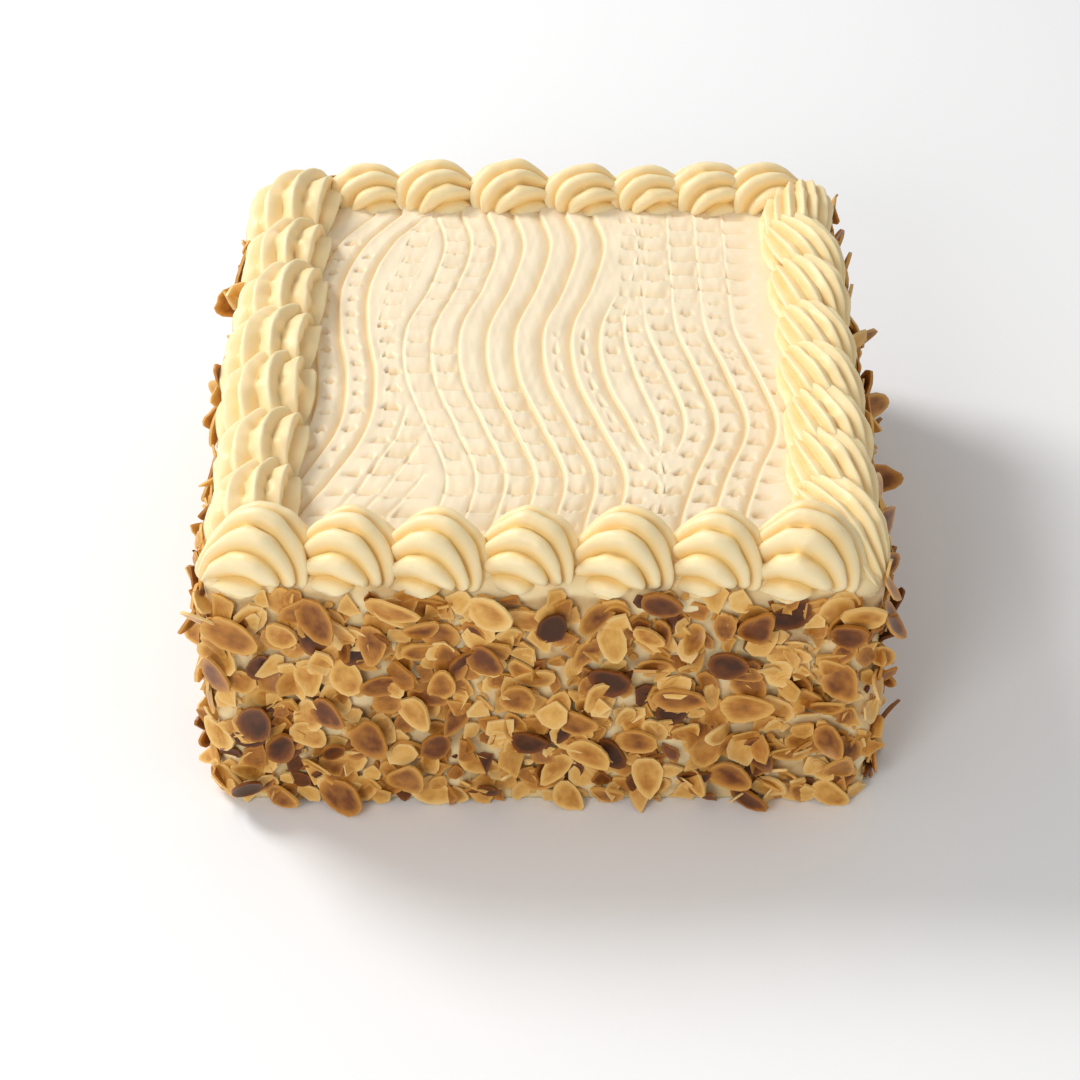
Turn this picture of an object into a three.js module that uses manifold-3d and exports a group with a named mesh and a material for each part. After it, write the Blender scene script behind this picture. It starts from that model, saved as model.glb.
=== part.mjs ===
// A square tray-cut carrot cake: one iced block with a combed top, a border of piped shells
// along its four top edges, and flaked almonds pressed into its sides.
// Millimetres, +Z up. The origin is the middle of the base and the front side faces -Y.
import * as THREE from 'three';
import { mergeVertices } from 'three/addons/utils/BufferGeometryUtils.js';
import Module from 'manifold-3d';

// The iced block
const WIDTH = 190;
const DEPTH = 209;
const HEIGHT = 83;
const CORNER_RADIUS = 9;

// The comb's grooves on the top
const GROOVE_HALF_WIDTH = 1.1;
const GROOVE_DEPTH = 1.1;
const GROOVE_LIP = 0.4;
const COMB_STEP = 12;
const COMB_EDGE = { left: -74, right: 77, front: -84, back: 88 };

// The piped shells
const SHELL_RINGS = 5;
const RIDGE_DEPTH = 3;
const RIDGE_FADE = 1.6;
const TAIL_TAPER = 0.3;
const EYE_HALF_ANGLE = 38;
const SHELL_GAP = 0.4;
const HAND_VARIATION = { size: 0.06, turn: 6, shift: 0.8 };
const SHELL_SEED = 41;

// The almond flakes
const FLAKE_THICKNESS = 1.2;
const FLAKE_FLOOR_GAP = 0.3;
const FLAKE_CELL = { across: 22, up: 17 };
const FLAKE_TOP_MARGIN = 6;
const FLAKE_EDGE_MARGIN = 4;
const FLAKE_SEED = 2027;

const wasm = await Module();
wasm.setup();

const buttercream = new THREE.MeshStandardMaterial({ color: '#f7e6bd', roughness: 0.55, metalness: 0 });
const pipedCream = new THREE.MeshStandardMaterial({ color: '#f9e3a6', roughness: 0.5, metalness: 0 });

// Joining and cutting

function toSolid(geometry) {
  const bare = geometry.clone();
  bare.deleteAttribute('normal');
  bare.deleteAttribute('uv');
  const merged = mergeVertices(bare, 1e-4);
  const mesh = new wasm.Mesh({
    numProp: 3,
    vertProperties: new Float32Array(merged.attributes.position.array),
    triVerts: new Uint32Array(merged.index.array),
  });
  return new wasm.Manifold(mesh);
}

function toGeometry(solid) {
  const mesh = solid.getMesh();
  const geometry = new THREE.BufferGeometry();
  geometry.setAttribute('position', new THREE.BufferAttribute(new Float32Array(mesh.vertProperties), 3));
  geometry.setIndex(new THREE.BufferAttribute(new Uint32Array(mesh.triVerts), 1));
  geometry.computeVertexNormals();
  return geometry;
}

function surface(points, faces) {
  const geometry = new THREE.BufferGeometry();
  const numbers = points.flatMap((point) => [point.x, point.y, point.z]);
  geometry.setAttribute('position', new THREE.Float32BufferAttribute(numbers, 3));
  geometry.setIndex(faces.flat());
  return geometry;
}

// The largest piece of a cut solid, without scraps and sealed hollows
function mainPiece(solid) {
  const pieces = solid.decompose();
  return pieces.reduce((best, piece) => (piece.volume() > best.volume() ? piece : best));
}

// The block

function blockSolid(grow) {
  const halfWidth = WIDTH / 2 + grow;
  const halfDepth = DEPTH / 2 + grow;
  const radius = CORNER_RADIUS + grow;
  const outline = new THREE.Shape();
  outline.moveTo(-halfWidth + radius, -halfDepth);
  outline.absarc(halfWidth - radius, -halfDepth + radius, radius, -Math.PI / 2, 0);
  outline.absarc(halfWidth - radius, halfDepth - radius, radius, 0, Math.PI / 2);
  outline.absarc(-halfWidth + radius, halfDepth - radius, radius, Math.PI / 2, Math.PI);
  outline.absarc(-halfWidth + radius, -halfDepth + radius, radius, Math.PI, Math.PI * 1.5);
  const options = { depth: HEIGHT + grow, bevelEnabled: false, curveSegments: 5 };
  return toSolid(new THREE.ExtrudeGeometry(outline, options));
}

// The comb was drawn from the back to the front in three waving passes. COMB_WAVES gives, every
// 25 mm from the front, how far a line of each pass has wandered from its place at y = -7.
const COMB_FIRST_Y = -82;
const COMB_KNOT_STEP = 25;
const COMB_WAVES = {
  left: [-21, -9.9, -1, 0, -3.5, -4, 2.9, 17.5],
  middle: [10, 13.7, 7.1, 0, -0.9, 6, 10.4, 4.9],
  right: [-9, -3.3, 4, 0, -5.7, -7, -8, -9],
};
const LEFT_PASS_END = -51.5;
const MIDDLE_PASS = { start: -42, end: 18.5 };
const RIGHT_PASS_START = 37.7;
const COMB_LINES = [-69, -60.2, -51.5, -42, -33.5, -25, -16.4, -7.8, 1, 9.7, 18.5, 28, 37.7, 47, 56, 65];

function smoothCurve(values, y) {
  const place = THREE.MathUtils.clamp((y - COMB_FIRST_Y) / COMB_KNOT_STEP, 0, values.length - 1.001);
  const knot = Math.floor(place);
  const at = (index) => values[THREE.MathUtils.clamp(index, 0, values.length - 1)];
  const [before, start, end, after] = [at(knot - 1), at(knot), at(knot + 1), at(knot + 2)];
  const t = place - knot;
  const slopeIn = (end - before) / 2;
  const slopeOut = (after - start) / 2;
  const t2 = t * t;
  const t3 = t2 * t;
  return (2 * t3 - 3 * t2 + 1) * start + (t3 - 2 * t2 + t) * slopeIn
    + (3 * t2 - 2 * t3) * end + (t3 - t2) * slopeOut;
}

function combX(line, y) {
  const leftShare = 1 - THREE.MathUtils.smoothstep(line, LEFT_PASS_END, MIDDLE_PASS.start);
  const rightShare = THREE.MathUtils.smoothstep(line, MIDDLE_PASS.end, RIGHT_PASS_START);
  const middleShare = 1 - leftShare - rightShare;
  return line + leftShare * smoothCurve(COMB_WAVES.left, y)
    + middleShare * smoothCurve(COMB_WAVES.middle, y)
    + rightShare * smoothCurve(COMB_WAVES.right, y);
}

// One groove: a triangular trench that follows its line, closed at both ends
function grooveSolid(line) {
  const stations = [];
  for (let y = COMB_EDGE.front; y <= COMB_EDGE.back + 0.1; y += COMB_STEP) {
    const x = combX(line, y);
    if (x > COMB_EDGE.left && x < COMB_EDGE.right) stations.push({ x, y });
  }
  const points = stations.flatMap(({ x, y }) => [
    new THREE.Vector3(x - GROOVE_HALF_WIDTH, y, HEIGHT + GROOVE_LIP),
    new THREE.Vector3(x + GROOVE_HALF_WIDTH, y, HEIGHT + GROOVE_LIP),
    new THREE.Vector3(x, y, HEIGHT - GROOVE_DEPTH),
  ]);
  const faces = [[0, 1, 2]];
  for (let station = 0; station + 1 < stations.length; station += 1) {
    for (let side = 0; side < 3; side += 1) {
      const a = station * 3 + side;
      const b = station * 3 + ((side + 1) % 3);
      faces.push([a, a + 3, b + 3], [a, b + 3, b]);
    }
  }
  const last = (stations.length - 1) * 3;
  faces.push([last, last + 2, last + 1]);
  return toSolid(surface(points, faces.map(([a, b, c]) => [a, c, b])));
}

// The almond flakes

function parkMiller(seed) {
  let state = seed;
  return () => {
    state = (state * 16807) % 2147483647;
    return state / 2147483647;
  };
}

// The four walls, each with its direction to the right as seen from outside and its outward way
const WALLS = {
  front: { right: new THREE.Vector3(1, 0, 0), out: new THREE.Vector3(0, -1, 0), length: WIDTH, reach: DEPTH / 2 },
  right: { right: new THREE.Vector3(0, 1, 0), out: new THREE.Vector3(1, 0, 0), length: DEPTH, reach: WIDTH / 2 },
  back: { right: new THREE.Vector3(-1, 0, 0), out: new THREE.Vector3(0, 1, 0), length: WIDTH, reach: DEPTH / 2 },
  left: { right: new THREE.Vector3(0, -1, 0), out: new THREE.Vector3(-1, 0, 0), length: DEPTH, reach: WIDTH / 2 },
};

// The flakes that catch the eye, placed by hand: across and up the wall, length, width,
// spin from level in degrees, and how far it stands out from the wall in degrees
const HERO_FLAKES = {
  front: [
    [-86.6, 66.6, 17, 11, -20, 12], [-91, 51.2, 17, 9, 88, 15], [-82.5, 34.1, 16, 10, 84, 10],
    [-50, 28.6, 18, 11, 82, 14], [-63, 72.8, 15, 10, -60, 22], [-28.8, 48.1, 13, 8, 80, 12],
    [-4.3, 25.4, 11, 8, 10, 14], [-39.7, 11.7, 15, 11, 70, 18], [-14.9, 76, 15, 11, 5, 30],
    [-7.1, 43.4, 13, 10, 60, 16], [2.5, 69.6, 13, 8, 75, 12], [19, 49.6, 13, 11, 20, 20],
    [52.1, 55.6, 12, 10, 30, 14], [38.7, 42.6, 16, 9, 5, 10], [57.9, 39.9, 16, 9, 12, 12],
    [54.6, 12.5, 13, 11, -15, 16], [59.2, 69.8, 15, 9, 65, 18], [85, 66.8, 12, 9, 40, 20],
    [84, 49.5, 12, 10, -50, 25], [27, 26.2, 13, 8, 8, 14], [9.2, 33.7, 13, 8, 3, 20],
    [86, 16.5, 14, 9, 80, 24],
  ],
  right: [[36, 66, 14, 10, 15, 55], [6, 62, 16, 9, -20, 60], [-26, 58, 17, 9, -35, 60]],
  back: [],
  left: [[-54, 68, 12, 10, 10, 58], [6, 66, 11, 8, 20, 50]],
};

// One flake: a thin plate with the outline of an almond's slice, blunt at one end
function flakeSolid(wall, flake) {
  const { across, up, length, width, spin, tilt, corners } = flake;
  const spinRadians = THREE.MathUtils.degToRad(spin);
  const tiltRadians = THREE.MathUtils.degToRad(tilt);
  const upward = new THREE.Vector3(0, 0, 1);
  const level = wall.right.clone().multiplyScalar(Math.cos(spinRadians))
    .addScaledVector(upward, Math.sin(spinRadians));
  const cross = wall.right.clone().multiplyScalar(-Math.sin(spinRadians))
    .addScaledVector(upward, Math.cos(spinRadians));
  const lengthway = level.multiplyScalar(Math.cos(tiltRadians)).addScaledVector(wall.out, Math.sin(tiltRadians));
  const normal = lengthway.clone().cross(cross).normalize();
  const lift = FLAKE_THICKNESS / 2 + Math.sin(tiltRadians) * length * 0.36;
  const centre = wall.right.clone().multiplyScalar(across)
    .addScaledVector(upward, up)
    .addScaledVector(wall.out, wall.reach + lift);
  const points = [];
  for (const layer of [-0.5, 0.5]) {
    for (let corner = 0; corner < corners; corner += 1) {
      const angle = (corner / corners) * Math.PI * 2;
      const taper = 1 - 0.22 * Math.cos(angle);
      points.push(centre.clone()
        .addScaledVector(lengthway, Math.cos(angle) * length / 2)
        .addScaledVector(cross, Math.sin(angle) * taper * width / 2)
        .addScaledVector(normal, layer * FLAKE_THICKNESS));
    }
  }
  const lowest = Math.min(...points.map((point) => point.z));
  const highest = Math.max(...points.map((point) => point.z));
  const shift = Math.max(0, FLAKE_FLOOR_GAP - lowest) + Math.min(0, HEIGHT - FLAKE_TOP_MARGIN - highest);
  points.forEach((point) => point.setZ(point.z + shift));
  const faces = [];
  for (let corner = 1; corner + 1 < corners; corner += 1) {
    faces.push([0, corner + 1, corner]);
    faces.push([corners, corners + corner, corners + corner + 1]);
  }
  for (let corner = 0; corner < corners; corner += 1) {
    const next = (corner + 1) % corners;
    faces.push([corner, next, corners + next], [corner, corners + next, corners + corner]);
  }
  return toSolid(surface(points, faces));
}

// The flakes of one wall: the ones placed by hand, then one in each free cell of a loose grid
function wallFlakes(name, wall, random) {
  const heroes = HERO_FLAKES[name].map(([across, up, length, width, spin, tilt]) => (
    { across, up, length, width, spin, tilt, corners: 8 }));
  const flakes = [...heroes];
  const usable = wall.length - 2 * FLAKE_EDGE_MARGIN;
  const columns = Math.round(usable / FLAKE_CELL.across);
  const rows = Math.round((HEIGHT - FLAKE_TOP_MARGIN) / FLAKE_CELL.up);
  for (let row = 0; row < rows; row += 1) {
    for (let column = 0; column < columns; column += 1) {
      const across = ((column + 0.2 + 0.6 * random()) / columns - 0.5) * usable;
      const up = ((row + 0.2 + 0.6 * random()) / rows) * (HEIGHT - FLAKE_TOP_MARGIN);
      const length = 9 + 6 * random();
      const width = length * (0.55 + 0.25 * random());
      const spin = 180 * random() - 90;
      const tilt = 6 + 30 * random() ** 2;
      const crowded = heroes.some((hero) => Math.hypot(hero.across - across, hero.up - up) < 11);
      if (!crowded) flakes.push({ across, up, length, width, spin, tilt, corners: 6 });
    }
  }
  return flakes;
}

function icedCake() {
  const grooves = wasm.Manifold.union(COMB_LINES.map(grooveSolid));
  const random = parkMiller(FLAKE_SEED);
  const flakes = Object.entries(WALLS).flatMap(([name, wall]) => (
    wallFlakes(name, wall, random).map((flake) => flakeSolid(wall, flake))));
  const iced = wasm.Manifold.union([blockSolid(0).subtract(grooves), ...flakes]);
  return mainPiece(iced);
}

// The piped shells

// Each row's shells share a form. along is the way the row was piped and out points off the cake.
// length, width and rise are the shell's size, low how far it reaches below its widest level,
// lift that level's height over the top of the block, and line the row's distance from the middle.
// The ridges, one for each tooth of the nozzle, run from root, under the shell, over the top to
// tail, both given as ways from the shell's middle (along, out, up). sag is how far the end that
// lies along the row droops, droop how far the other end does, eye how deep the hollow is that the
// ridges curl round at their root, and lean how many degrees the row's shells are turned outwards.
const ROWS = {
  back: {
    along: [1, 0], out: [0, 1], length: 31, width: 23, rise: 12, low: 4.5, lift: 0, line: 95.5,
    ridges: 10, tail: [0.9, -0.3, -0.3], root: [-0.25, -0.76, -0.6], sag: 2, droop: 0, eye: 3.5, lean: 0,
    places: [-57.7, -35.4, -10, 14, 35.6, 55.6, 74],
  },
  right: {
    along: [0, -1], out: [1, 0], length: 46, width: 25, rise: 12.5, low: 4.5, lift: 0, line: 83.5,
    ridges: 10, tail: [0.7, 0.6, -0.4], root: [-0.95, -0.25, -0.2], sag: 5, droop: 0, eye: 0, lean: 12,
    places: [78, 55, 31, 7, -17, -40, -61, -82],
  },
  left: {
    along: [0, -1], out: [-1, 0], length: 44, width: 28, rise: 14, low: 4.5, lift: 0, line: 82.8,
    ridges: 10, tail: [-0.93, -0.3, -0.1], root: [0.25, -0.93, -0.25], sag: 6, droop: 0, eye: 0, lean: 20,
    places: [81, 54, 27, 2, -23, -49, -74],
  },
  front: {
    along: [-1, 0], out: [0, -1], length: 36, width: 29, rise: 17, low: 6, lift: -1.5, line: 94.5,
    ridges: 12, tail: [0.87, 0.33, -0.35], root: [-0.25, 0.75, -0.6], sag: 2, droop: 5, eye: 5, lean: 0,
    places: [73, 48.1, 23.2, -3.8, -29.6, -53.6, -78.5],
  },
};

// Ridge lines on a ball: circles through two poles, evenly spaced halfway between the poles.
// The function that comes back takes the share of the line from tail to root, and the line's
// turn, and gives the way to that point and how far apart the lines are there. curl is 0 where
// the poles face each other, and the steps along a line get longer at its ends as it grows.
function ridgeLines(row) {
  const tail = new THREE.Vector3(...row.tail).normalize();
  const root = new THREE.Vector3(...row.root).normalize();
  const axis = tail.clone().sub(root).normalize();
  const bend = tail.clone().add(root);
  const curl = bend.length() / 2;
  bend.normalize();
  const side = axis.clone().cross(bend);
  const stretch = 1 / Math.sqrt(1 - curl * curl);
  const bunching = Math.sqrt((1 - curl) / (1 + curl));
  return (share, turn) => {
    const polar = Math.PI * share + 0.5 * (1 - bunching) * Math.sin(2 * Math.PI * share);
    const bunched = 2 * Math.atan(Math.tan(turn / 2) / bunching);
    const straight = axis.clone().multiplyScalar(Math.cos(polar))
      .addScaledVector(bend, Math.sin(polar) * Math.cos(bunched))
      .addScaledVector(side, Math.sin(polar) * Math.sin(bunched));
    const near = straight.dot(bend);
    const shrink = stretch * (1 + curl * near);
    const way = straight.addScaledVector(bend, (stretch - 1) * near + stretch * curl).divideScalar(shrink);
    return { way, spread: Math.sin(polar) / shrink };
  };
}

// A point of a shell, in the order along, out, up from the shell's middle: a ball stretched to
// the shell's size, slimmer and lower at its tail, with the grooves between the ridges cut in.
// groove is 0 on a ridge and 1 at the bottom of a groove.
function shellPoint(row, { way, spread }, groove, grow) {
  const high = way.z > 0 ? row.rise - row.lift : row.low;
  const size = new THREE.Vector3(row.length / 2, row.width / 2, high);
  const towardsEnd = Math.max(0, way.x);
  const slim = 1 - TAIL_TAPER * towardsEnd ** 2;
  const depth = Math.min(1, spread * RIDGE_FADE) * RIDGE_DEPTH * groove;
  const nearRoot = way.dot(new THREE.Vector3(...row.root).normalize());
  const eyeEdge = Math.cos(THREE.MathUtils.degToRad(EYE_HALF_ANGLE));
  const eye = row.eye * THREE.MathUtils.smoothstep(nearRoot, eyeEdge, 1);
  const point = way.clone().multiply(size);
  point.setLength(point.length() + grow - depth - eye).multiply(new THREE.Vector3(1, slim, slim));
  point.z -= row.sag * towardsEnd ** 2 + row.droop * Math.max(0, -way.x) ** 2;
  return point;
}

// A whole shell. The ridge lines and the grooves between them take turns round it. hand is how
// this shell differs from the others of its row, and grow makes it fatter all round.
function shellSolid(row, place, hand, grow) {
  const columns = row.ridges * 2;
  const ridgeLine = ridgeLines(row);
  const upward = new THREE.Vector3(0, 0, 1);
  const turned = hand.turn + THREE.MathUtils.degToRad(row.lean);
  const locate = (share, column) => {
    const turn = Math.PI * (column / row.ridges - 1);
    const local = shellPoint(row, ridgeLine(share, turn), column % 2, grow);
    local.multiplyScalar(hand.size).applyAxisAngle(upward, turned);
    local.y += hand.shift;
    const [alongX, alongY] = row.along;
    const [outX, outY] = row.out;
    return new THREE.Vector3(
      Math.abs(alongX) * place + alongX * local.x + outX * (row.line + local.y),
      Math.abs(alongY) * place + alongY * local.x + outY * (row.line + local.y),
      HEIGHT + row.lift + local.z,
    );
  };
  const points = [locate(0, 0)];
  for (let ring = 1; ring <= SHELL_RINGS; ring += 1) {
    const share = ring / (SHELL_RINGS + 1);
    for (let column = 0; column < columns; column += 1) points.push(locate(share, column));
  }
  points.push(locate(1, 0));
  const last = points.length - 1;
  const base = 1 + (SHELL_RINGS - 1) * columns;
  const faces = [];
  for (let column = 0; column < columns; column += 1) {
    const next = (column + 1) % columns;
    faces.push([0, 1 + column, 1 + next], [last, base + next, base + column]);
    for (let ring = 0; ring + 1 < SHELL_RINGS; ring += 1) {
      const a = 1 + ring * columns + column;
      const b = 1 + ring * columns + next;
      faces.push([a, a + columns, b + columns], [a, b + columns, b]);
    }
  }
  const solid = toSolid(surface(points, faces));
  if (solid.volume() > 0) return solid;
  return toSolid(surface(points, faces.map(([a, b, c]) => [a, c, b])));
}

// Every shell in the order of piping: a later one lies over an earlier one that it touches
function pipedShells() {
  const shells = Object.entries(ROWS).flatMap(([name, row]) => row.places.map((place, index) => {
    const number = name === 'front' ? row.places.length - index : index + 1;
    return { name: `shell_${name}_${number}`, row, place };
  }));
  const under = blockSolid(SHELL_GAP);
  const random = parkMiller(SHELL_SEED);
  const spread = (amount) => amount * (2 * random() - 1);
  shells.forEach((shell) => {
    const hand = {
      size: 1 + spread(HAND_VARIATION.size),
      turn: THREE.MathUtils.degToRad(spread(HAND_VARIATION.turn)),
      shift: spread(HAND_VARIATION.shift),
    };
    shell.whole = shellSolid(shell.row, shell.place, hand, 0);
    shell.fat = shellSolid(shell.row, shell.place, hand, SHELL_GAP);
  });
  return shells.map((shell, index) => {
    const above = shells.slice(index + 1).map((later) => later.fat);
    const cutter = wasm.Manifold.union([under, ...above]);
    return { name: shell.name, solid: mainPiece(shell.whole.subtract(cutter)) };
  });
}

const cake = new THREE.Group();

const iced = new THREE.Mesh(toGeometry(icedCake()), buttercream);
iced.name = 'iced_cake';
cake.add(iced);

for (const { name, solid } of pipedShells()) {
  const shell = new THREE.Mesh(toGeometry(solid), pipedCream.clone());
  shell.name = name;
  cake.add(shell);
}

export default cake;
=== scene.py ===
# %% [markdown]
# # A square carrot cake
# The cake is a block of sponge iced all over with pale buttercream. Its top was drawn over with
# a toothed comb, a border of shells was piped along the four top edges, and toasted almond
# flakes were pressed into the sides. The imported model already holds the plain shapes. This
# lesson gives each of them its fine surface and its finish.

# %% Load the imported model
import bpy
import numpy as np
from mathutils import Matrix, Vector


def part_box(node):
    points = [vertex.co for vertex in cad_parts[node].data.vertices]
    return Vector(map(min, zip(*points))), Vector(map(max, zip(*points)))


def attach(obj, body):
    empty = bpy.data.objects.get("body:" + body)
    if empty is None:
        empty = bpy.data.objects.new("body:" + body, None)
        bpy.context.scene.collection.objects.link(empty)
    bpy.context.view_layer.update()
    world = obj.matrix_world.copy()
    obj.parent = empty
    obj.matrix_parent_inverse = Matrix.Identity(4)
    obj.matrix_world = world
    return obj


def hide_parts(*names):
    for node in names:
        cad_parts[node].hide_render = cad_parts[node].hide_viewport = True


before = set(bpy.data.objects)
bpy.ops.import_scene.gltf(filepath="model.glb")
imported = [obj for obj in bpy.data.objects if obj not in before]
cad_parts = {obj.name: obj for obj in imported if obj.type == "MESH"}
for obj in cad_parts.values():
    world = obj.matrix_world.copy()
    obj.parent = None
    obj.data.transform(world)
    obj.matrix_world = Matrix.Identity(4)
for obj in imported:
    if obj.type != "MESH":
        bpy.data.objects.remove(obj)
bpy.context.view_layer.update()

# %% [markdown]
# ## The camera
# The view is the photograph's: from the front, high enough to see the whole top. A long lens
# keeps the sides of the cake nearly parallel. The place is where the edges of a block of this
# size fall on the edges seen in the picture.

# %% Place the camera
MM = 0.001
CAMERA_PLACE = Vector((-1.0, -648.2, 544.2)) * MM
LOOK_DOWN = np.radians(39.35)
LENS = 86.4
SENSOR = 36


def place_camera():
    lens = bpy.data.cameras.new("camera")
    lens.lens = LENS
    lens.sensor_width = SENSOR
    camera = bpy.data.objects.new("camera", lens)
    camera.location = CAMERA_PLACE
    gaze = Vector((0, np.cos(LOOK_DOWN), -np.sin(LOOK_DOWN)))
    camera.rotation_euler = gaze.to_track_quat("-Z", "Y").to_euler()
    bpy.context.scene.collection.objects.link(camera)
    bpy.context.scene.camera = camera


place_camera()
print("camera at", tuple(round(v, 3) for v in bpy.context.scene.camera.location))

# %% [markdown]
# ## The light and the floor
# Icing shows its ridges only when the light comes across them. One large soft light stands
# behind the cake on the left, so that grooves have a dark side and a bright rim. A weaker one
# at the front reaches the almonds there, and a white sky fills the rest. The floor is a plain
# white plane. Sizes and places are millimetres, and powers are watts.

# %% Light the scene
SKY_STRENGTH = 0.48
KEY_LIGHT = {"place": (-980, 620, 1120), "aim": (0, 0, 60), "size": 600, "power": 17}
FRONT_LIGHT = {"place": (-420, -900, 640), "aim": (0, -60, 50), "size": 420, "power": 3.6}
FLOOR_SIZE = 8000


def soft_light(name, place, aim, size, power):
    lamp = bpy.data.lights.new(name, "AREA")
    lamp.shape = "DISK"
    lamp.size = size * MM
    lamp.energy = power
    light = bpy.data.objects.new(name, lamp)
    light.location = Vector(place) * MM
    way = Vector(aim) * MM - light.location
    light.rotation_euler = way.to_track_quat("-Z", "Y").to_euler()
    bpy.context.scene.collection.objects.link(light)


def white_sky():
    sky = bpy.data.worlds.new("sky")
    sky.use_nodes = True
    background = sky.node_tree.nodes["Background"]
    background.inputs["Color"].default_value = (1, 1, 1, 1)
    background.inputs["Strength"].default_value = SKY_STRENGTH
    bpy.context.scene.world = sky


white_sky()
soft_light("key_light", **KEY_LIGHT)
soft_light("front_light", **FRONT_LIGHT)
bpy.context.scene.view_settings.view_transform = "Standard"

# %% [markdown]
# ## Meshes from whole arrays
# Every surface here is worked out as one numpy array of points, so a helper turns arrays of
# points and of corner numbers into a mesh. It also measures the signed volume, and turns all
# faces round when that is negative, so that they always point outwards.

# %% Turn arrays into a mesh
def grid_quads(rows, columns, closed=False, first=0):
    """Corner numbers of the quads between neighbouring points of a grid stored row by row.
    A closed grid also joins its last column to its first."""
    row = np.arange(rows - 1)[:, None] * columns
    column = np.arange(columns if closed else columns - 1)[None, :]
    beside = (column + 1) % columns
    corners = [row + column, row + beside, row + columns + beside, row + columns + column]
    return np.stack(corners, -1).reshape(-1, 4) + first


def fan(tip, ring):
    """Corner numbers of the triangles that join each neighbouring pair of a ring to its tip."""
    return np.stack([np.full(len(ring), tip), ring, np.roll(ring, -1)], -1)


def signed_volume(points, triangles):
    """A sixth of the sum of each triangle's triple product: positive when faces point out."""
    a, b, c = (points[triangles[:, i]] for i in range(3))
    return np.einsum("ij,ij->", a, np.cross(b, c)) / 6


def put_mesh(name, points, quads, triangles, values=None, uv=None, sharp_angle=None):
    """An object whose mesh has these points in millimetres, these faces, named values for
    each point and, where given, a UV place for each point."""
    halves = np.concatenate([quads[:, [0, 1, 2]], quads[:, [0, 2, 3]], triangles])
    if signed_volume(points, halves) < 0:
        quads = quads[:, ::-1]
        triangles = triangles[:, ::-1]
    corners = np.concatenate([quads.ravel(), triangles.ravel()]).astype(np.int32)
    sizes = np.concatenate([np.full(len(quads), 4), np.full(len(triangles), 3)])
    mesh = bpy.data.meshes.new(name)
    mesh.vertices.add(len(points))
    mesh.vertices.foreach_set("co", (points * MM).astype(np.float32).ravel())
    mesh.loops.add(len(corners))
    mesh.loops.foreach_set("vertex_index", corners)
    mesh.polygons.add(len(sizes))
    mesh.polygons.foreach_set("loop_start", (np.cumsum(sizes) - sizes).astype(np.int32))
    mesh.update(calc_edges=True)
    mesh.polygons.foreach_set("use_smooth", np.ones(len(sizes), dtype=bool))
    for label, numbers in (values or {}).items():
        attribute = mesh.attributes.new(label, "FLOAT", "POINT")
        attribute.data.foreach_set("value", numbers.astype(np.float32))
    if uv is not None:
        mesh.uv_layers.new(name="UVMap").data.foreach_set("uv", uv[corners].astype(np.float32).ravel())
    if sharp_angle:
        mesh.set_sharp_from_angle(angle=np.radians(sharp_angle))
    piece = bpy.data.objects.new(name, mesh)
    bpy.context.scene.collection.objects.link(piece)
    return piece


def dress(piece, material, slot, *nodes):
    """Give a finished piece its material and body, and hide the imported parts that it stands for. The slot
    argument is not used.
    """
    piece.data.materials.append(material)
    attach(piece, "root")
    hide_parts(*nodes)


def lumps(points, size, seed, waves=28):
    """Smooth random unevenness, about -1 to 1, the same on both sides of any seam: the scaled
    sum of sine waves that run in random ways, with wavelengths near size."""
    random = np.random.default_rng(seed)
    ways = random.normal(size=(3, waves))
    ways = ways / np.linalg.norm(ways, axis=0) * random.uniform(0.6, 1.5, waves)
    ways = ways * 2 * np.pi / np.reshape(size, (-1, 1))
    phases = random.uniform(0, 2 * np.pi, waves)
    return np.sin(points @ ways + phases).sum(-1) / np.sqrt(waves)


def smooth_step(low, high, value):
    """0 below low, 1 above high, and the curve 3t^2 - 2t^3 in between."""
    t = np.clip((value - low) / (high - low), 0, 1)
    return t * t * (3 - 2 * t)


print("volume of a unit tetrahedron:", signed_volume(
    np.array([[0, 0, 0], [1, 0, 0], [0, 1, 0], [0, 0, 1.0]]),
    np.array([[0, 2, 1], [0, 1, 3], [0, 3, 2], [1, 2, 3]])))

# %% [markdown]
# ## The finish of buttercream
# Buttercream is butter and sugar: pale, a little translucent, with a soft sheen. Light that goes
# in comes out yellower and less light reaches the grooves, so hollows look deeper in colour than
# crests. That shade is painted into the colour: both icings use one node group, which mixes the
# crest colour into a darker, yellower painted shade colour by a point attribute for the share of
# painted shade, adds faint mottling and gives a height for the bump.

# %% Make the buttercream materials
def socket_group(name, inputs, outputs):
    """An empty shader node group with named sockets, and its input and output nodes."""
    group = bpy.data.node_groups.new(name, "ShaderNodeTree")
    for label, kind, value in inputs:
        socket = group.interface.new_socket(label, in_out="INPUT", socket_type=kind)
        socket.default_value = value
    for label, kind in outputs:
        group.interface.new_socket(label, in_out="OUTPUT", socket_type=kind)
    return group, group.nodes.new("NodeGroupInput"), group.nodes.new("NodeGroupOutput")


def add_node(tree, kind, **settings):
    node = tree.nodes.new(kind)
    for label, value in settings.items():
        setattr(node, label, value)
    return node


def noise_value(tree, vector, scale, detail):
    """The value of a noise looked up at a vector."""
    noise = add_node(tree, "ShaderNodeTexNoise")
    noise.inputs["Scale"].default_value = scale
    noise.inputs["Detail"].default_value = detail
    tree.links.new(vector, noise.inputs["Vector"])
    return noise.outputs["Fac"]


def math_value(tree, operation, *values, clamp=False):
    """What a Math node makes of these values, each a number or another node's output."""
    node = add_node(tree, "ShaderNodeMath", operation=operation, use_clamp=clamp)
    for socket, value in zip(node.inputs, values):
        if isinstance(value, bpy.types.NodeSocket):
            tree.links.new(value, socket)
        else:
            socket.default_value = value
    return node.outputs[0]


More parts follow.
